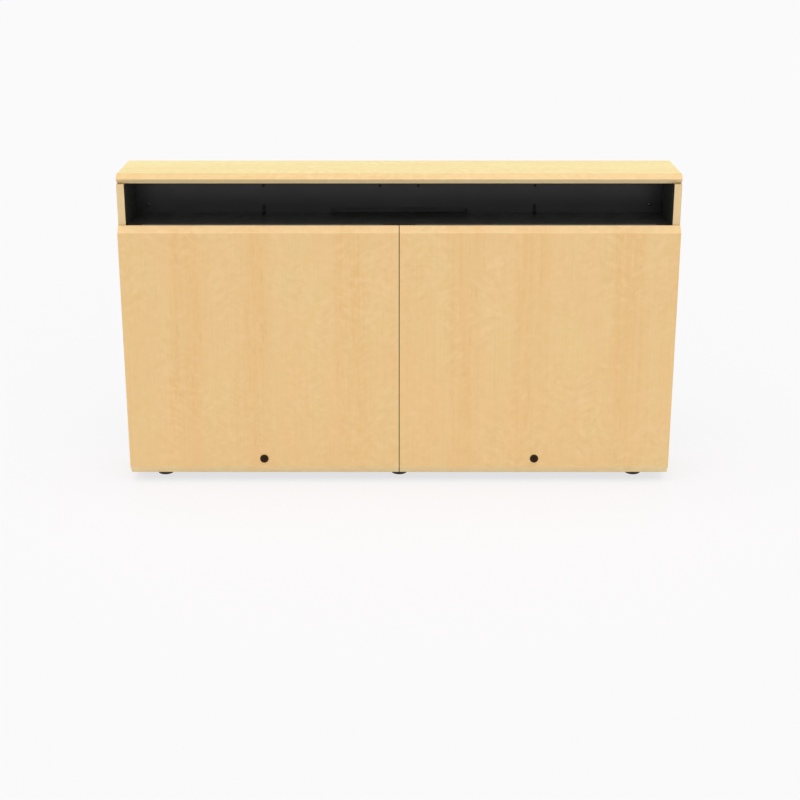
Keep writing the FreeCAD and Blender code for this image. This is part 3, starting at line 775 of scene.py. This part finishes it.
# Edge roundings of boards, of fittings that have a left and a right one, and of pieces that share a node
BOARD_ROUNDING = {
    "top_panel": 1.0 * MM,
    "left_door": 1.0 * MM,
    "right_door": 1.0 * MM,
    "left_side_panel": 0.8 * MM,
    "right_side_panel": 0.8 * MM,
    "niche_shelf": 0.5 * MM,
    "bottom_panel": 0.5 * MM,
    "centre_partition": 0.5 * MM,
    "niche_back_panel": 0.4 * MM,
    "lower_back_panel": 0.4 * MM,
    "hanging_rail": 1.2 * MM,
    "lower_wall_rail": 1.2 * MM,
}
FITTING_ROUNDING = {
    "strut_cylinder": 0.8 * MM,
    "strut_rod": 0.4 * MM,
    "strut_cabinet_bracket": 0.4 * MM,
    "strut_door_bracket": 0.4 * MM,
    "lock_housing": 0.3 * MM,
    "lock_plug": 0.25 * MM,
    "lock_cam": 0.3 * MM,
    "lock_nut": 0.4 * MM,
    "strike_plate": 0.3 * MM,
    "hinge_carcase_leaf": 0.15 * MM,
    "hinge_door_leaf": 0.15 * MM,
    "hinge_pin": 0.3 * MM,
}
SHARED_ROUNDING = {
    "joint_blocks": 0.8 * MM,
    "niche_brackets": 0.4 * MM,
    "door_bumpers": 0.15 * MM,
}
ROUNDING_STEPS = 3
ROUND_PROFILE = 0.5
LONG_EDGE = 25 * MM
SHARP_ANGLE = math.radians(25)
FLAT_ANGLE = math.radians(1)
SMALL_FACE = 200 * MM * MM


def curved_wall(face):
    """True for a face that turns gently into a neighbour, as the wall of a bore or a tube does."""
    angles = [edge.calc_face_angle(0.0) for edge in face.edges]
    return any(FLAT_ANGLE < angle < SHARP_ANGLE for angle in angles)


def eased(node, radius, shortest=0.0, largest_curved=math.inf, clamp=True):
    """Piece with its outer edges rounded, apart from those that are too short.

    Faces up to largest_curved in area are shaded round where they belong to a curved wall. clamp keeps
    the rounding within the nearest short edge.
    """
    shape = cad_shape(node)
    bmesh.ops.dissolve_limit(shape, angle_limit=FLAT_ANGLE, verts=shape.verts, edges=shape.edges)
    edges = []
    for edge in shape.edges:
        if edge.is_convex and edge.calc_length() > shortest and edge.calc_face_angle(0.0) > SHARP_ANGLE:
            edges.append(edge)
    for face in shape.faces:
        face.smooth = face.calc_area() < largest_curved and curved_wall(face)
    rounding = bmesh.ops.bevel(
        shape,
        geom=edges,
        offset=radius,
        segments=ROUNDING_STEPS,
        profile=ROUND_PROFILE,
        affect="EDGES",
        clamp_overlap=clamp,
        loop_slide=clamp,
    )
    for face in rounding["faces"]:
        face.smooth = True
    piece_from(shape, node, keep_shading=True)


for board, rounding in BOARD_ROUNDING.items():
    eased(board, rounding, LONG_EDGE, SMALL_FACE, clamp=False)
for fitting, rounding in FITTING_ROUNDING.items():
    eased("left_" + fitting, rounding)
    eased("right_" + fitting, rounding)
for fitting, rounding in SHARED_ROUNDING.items():
    eased(fitting, rounding)


PAD_HEIGHT = 7.0 * MM
PAD_EDGE = 1.6 * MM
HOLLOW_HEIGHT = 1.2 * MM
NECK_APOTHEM = 6.5 * MM
NECK_CHAMFER = 0.8 * MM
STEM_RADIUS = 4.0 * MM
THREAD_PITCH = 1.25 * MM
THREAD_DEPTH = 0.6 * MM
TURN_GAP = 0.3 * MM
KNURLS = 36
KNURL_DEPTH = 0.02
knurled_ring = ribbed_ring(KNURLS, KNURL_DEPTH)

# Reach of the hollow's roof and of its mouth, as shares of the pad's flat underside
HOLLOW_ROOF = 0.75
HOLLOW_MOUTH = 0.8
RIM_ARCS = 4
RINGS_PER_TURN = 6
STEM_STEPS = 30


def foot_outline(radius, neck_top):
    """Pad with a hollow underside, rounded rims and a knurled edge, then a chamfered hexagon neck."""
    rim = radius - PAD_EDGE
    points = [
        (0, HOLLOW_HEIGHT, round_ring),
        (rim * HOLLOW_ROOF, HOLLOW_HEIGHT, round_ring),
        (rim * HOLLOW_MOUTH, 0, round_ring),
    ]
    angles = [math.pi / 2 * arc / RIM_ARCS for arc in range(RIM_ARCS + 1)]
    for angle in angles:
        height = PAD_EDGE * (1 - math.cos(angle))
        form = knurled_ring if angle == angles[-1] else round_ring
        points.append((rim + PAD_EDGE * math.sin(angle), height, form))
    for angle in angles:
        height = PAD_HEIGHT - PAD_EDGE * (1 - math.sin(angle))
        form = knurled_ring if angle == angles[0] else round_ring
        points.append((rim + PAD_EDGE * math.cos(angle), height, form))
    points.append((NECK_APOTHEM, PAD_HEIGHT, hexagon_ring))
    points.append((NECK_APOTHEM, neck_top - NECK_CHAMFER, hexagon_ring))
    points.append((NECK_APOTHEM, neck_top, round_ring))
    points.append((0, neck_top, round_ring))
    return points


def threaded_stem(low, high):
    """Closed rod with a helical thread, from one height to the other."""
    count = math.ceil((high - low) / THREAD_PITCH * RINGS_PER_TURN)
    shape = bmesh.new()
    rings = []
    for index in range(count + 1):
        height = low + (high - low) * index / count
        ring = []
        for step in range(STEM_STEPS):
            angle = 2 * math.pi * step / STEM_STEPS
            phase = (height / THREAD_PITCH - step / STEM_STEPS) % 1.0
            reach = STEM_RADIUS - THREAD_DEPTH * abs(2 * phase - 1)
            ring.append(shape.verts.new((reach * math.cos(angle), reach * math.sin(angle), height)))
        rings.append(ring)
    for below, above in zip(rings, rings[1:]):
        for step in range(STEM_STEPS):
            after = (step + 1) % STEM_STEPS
            shape.faces.new((below[step], below[after], above[after], above[step]))
    shape.faces.new(reversed(rings[0]))
    shape.faces.new(rings[-1])
    return shape


def join(shape, other):
    """Add one shape to another."""
    mesh = bpy.data.meshes.new("joined")
    other.to_mesh(mesh)
    other.free()
    shape.from_mesh(mesh)
    bpy.data.meshes.remove(mesh)


def levelling_foot(node):
    """Foot with its pad and neck below the cabinet and its threaded stem above them."""
    low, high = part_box(node)
    neck_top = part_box("bottom_panel")[0].z - TURN_GAP
    shape = turned(foot_outline((high.x - low.x) / 2, neck_top), STEPS_PER_RIB * KNURLS)
    join(shape, threaded_stem(neck_top, high.z))
    centre = (low + high) / 2
    bmesh.ops.translate(shape, vec=(centre.x, centre.y, 0), verts=shape.verts)
    piece_from(shape, node)


for row in ("front", "rear"):
    for column in ("left", "centre", "right"):
        levelling_foot(f"{row}_{column}_foot")


# Sides of a dowel's solid in the frame, and the reach of its flats, which the inserts keep to as well
FACETS = 8
FLAT_REACH = math.cos(math.pi / FACETS)
FLUTES = 16
FLUTE_DEPTH = 0.08
DOWEL_CHAMFER = 0.8 * MM
STEM_GAP = 0.05 * MM
BARBS = 5
BARB_DEPTH = 0.6 * MM
INSERT_STEPS = 48


def fluted_dowel(radius, low, high):
    """Dowel with chamfered ends and shallow flutes."""
    fluted_ring = ribbed_ring(FLUTES, FLUTE_DEPTH)
    tip = radius - DOWEL_CHAMFER
    outline = [
        (0, low, round_ring),
        (tip, low, round_ring),
        (radius, low + DOWEL_CHAMFER, fluted_ring),
        (radius, high - DOWEL_CHAMFER, fluted_ring),
        (tip, high, round_ring),
        (0, high, round_ring),
    ]
    return turned(outline, STEPS_PER_RIB * FLUTES)


def barbed_insert(radius, low, high):
    """Sleeve with a plain bore and barbs that hold it in the board."""
    bore = STEM_RADIUS + STEM_GAP
    outline = [(bore, low, round_ring)]
    for barb in range(BARBS):
        start = low + (high - low) * barb / BARBS
        end = low + (high - low) * (barb + 1) / BARBS
        outline += [(radius, start, round_ring), (radius - BARB_DEPTH, end, round_ring)]
    outline.append((bore, high, round_ring))
    return turned(outline, INSERT_STEPS, bored=True)


def upright_group(node, make):
    """All the upright turned pieces of one node, each within the flats of its solid."""
    group = bmesh.new()
    for low, high in solid_places(node):
        shape = make(FLAT_REACH * (high.x - low.x) / 2, low.z, high.z)
        centre = (low + high) / 2
        bmesh.ops.translate(shape, vec=(centre.x, centre.y, 0), verts=shape.verts)
        join(group, shape)
    piece_from(group, node)


upright_group("top_dowels", fluted_dowel)
upright_group("foot_inserts", barbed_insert)


# Studio


def sun(name, elevation, azimuth, strength, angle):
    """Lamp far away, with angles in degrees: azimuth 0 is in front of the object.

    A lamp of strength 1 gives a white face square to it the level of white.
    """
    lamp = bpy.data.lights.new(name, "SUN")
    lamp.energy = strength * math.pi
    lamp.angle = math.radians(angle)
    holder = bpy.data.objects.new(name, lamp)
    scene.collection.objects.link(holder)
    up = math.radians(elevation)
    aside = math.radians(azimuth)
    level = math.cos(up)
    towards = Vector((math.sin(aside) * level, -math.cos(aside) * level, math.sin(up)))
    holder.rotation_mode = "QUATERNION"
    holder.rotation_quaternion = towards.to_track_quat("Z", "Y")


sun("overhead", elevation=80, azimuth=-12, strength=0.63, angle=70)
sun("front", elevation=8, azimuth=8, strength=0.152, angle=60)

AMBIENT = 0.50
BACKDROP_WHITE = rgb(252, 251, 252)
FLOOR_WHITE = rgb(248, 247, 248)
FLOOR_COLOUR = rgb(245, 244, 246)
FLOOR_ROUGHNESS = 0.9
FLOOR_LIFT = 0.78
FLOOR_HALF = 60.0


def seen_directly(tree):
    """1 for rays from the camera, a reflection or a see-through surface, 0 for light that bounces."""
    path = tree.nodes.new("ShaderNodeLightPath")
    seen = path.outputs["Is Camera Ray"]
    for kind in ("Is Glossy Ray", "Is Transmission Ray"):
        either = tree.nodes.new("ShaderNodeMath")
        either.operation = "MAXIMUM"
        tree.links.new(seen, either.inputs[0])
        tree.links.new(path.outputs[kind], either.inputs[1])
        seen = either.outputs["Value"]
    return seen


def studio_world():
    """Even light from all round, with a white backdrop where it is seen."""
    world = bpy.data.worlds.new("studio")
    world.use_nodes = True
    tree = world.node_tree
    tree.nodes.clear()
    mix = tree.nodes.new("ShaderNodeMixShader")
    tree.links.new(seen_directly(tree), mix.inputs["Fac"])
    for socket, colour, strength in ((1, WHITE, AMBIENT), (2, BACKDROP_WHITE, 1.0)):
        light = tree.nodes.new("ShaderNodeBackground")
        light.inputs["Color"].default_value = colour
        light.inputs["Strength"].default_value = strength
        tree.links.new(light.outputs["Background"], mix.inputs[socket])
    output = tree.nodes.new("ShaderNodeOutputWorld")
    tree.links.new(mix.outputs["Shader"], output.inputs["Surface"])
    scene.world = world


def studio_floor():
    """Plain pale floor, lifted towards white where it is seen."""
    mesh = bpy.data.meshes.new("floor")
    corners = [(-FLOOR_HALF, -FLOOR_HALF, 0), (FLOOR_HALF, -FLOOR_HALF, 0)]
    corners += [(FLOOR_HALF, FLOOR_HALF, 0), (-FLOOR_HALF, FLOOR_HALF, 0)]
    mesh.from_pydata(corners, [], [(0, 1, 2, 3)])
    floor = bpy.data.objects.new("floor", mesh)
    scene.collection.objects.link(floor)
    finish = Finish("studio_floor", Base_Color=FLOOR_COLOUR, Roughness=FLOOR_ROUGHNESS)
    finish.feed(finish.shader, "Specular IOR Level", 0.0)
    glow = finish.add("Emission", {"Color": FLOOR_WHITE, "Strength": 1.0})
    lift = finish.maths("MULTIPLY", seen_directly(finish.tree), FLOOR_LIFT)
    mix = finish.add("MixShader", {"Fac": lift})
    finish.feed(mix, 1, finish.shader.outputs["BSDF"])
    finish.feed(mix, 2, glow.outputs["Emission"])
    finish.feed(finish.tree.nodes["Material Output"], "Surface", mix.outputs["Shader"])
    mesh.materials.append(finish.material)


# Lens in millimetres and its shift as shares of the picture, then the camera's place in metres
SENSOR_WIDTH = 36.0
LENS = 67.01
SHIFT_RIGHT = 0.001
SHIFT_UP = -0.0931
CAMERA_PLACE = (0.0, -3.7004, 1.5337)
CAMERA_TILT = math.radians(72.93)
FARTHEST = 200.0


def studio_camera():
    """Camera fitted to the edges in the photo."""
    data = bpy.data.cameras.new("camera")
    data.sensor_width = SENSOR_WIDTH
    data.lens = LENS
    data.shift_x = SHIFT_RIGHT
    data.shift_y = SHIFT_UP
    data.clip_end = FARTHEST
    camera = bpy.data.objects.new("camera", data)
    camera.location = CAMERA_PLACE
    camera.rotation_euler = (CAMERA_TILT, 0.0, 0.0)
    scene.collection.objects.link(camera)
    scene.camera = camera


studio_world()
studio_floor()
studio_camera()
scene.view_settings.view_transform = "Standard"
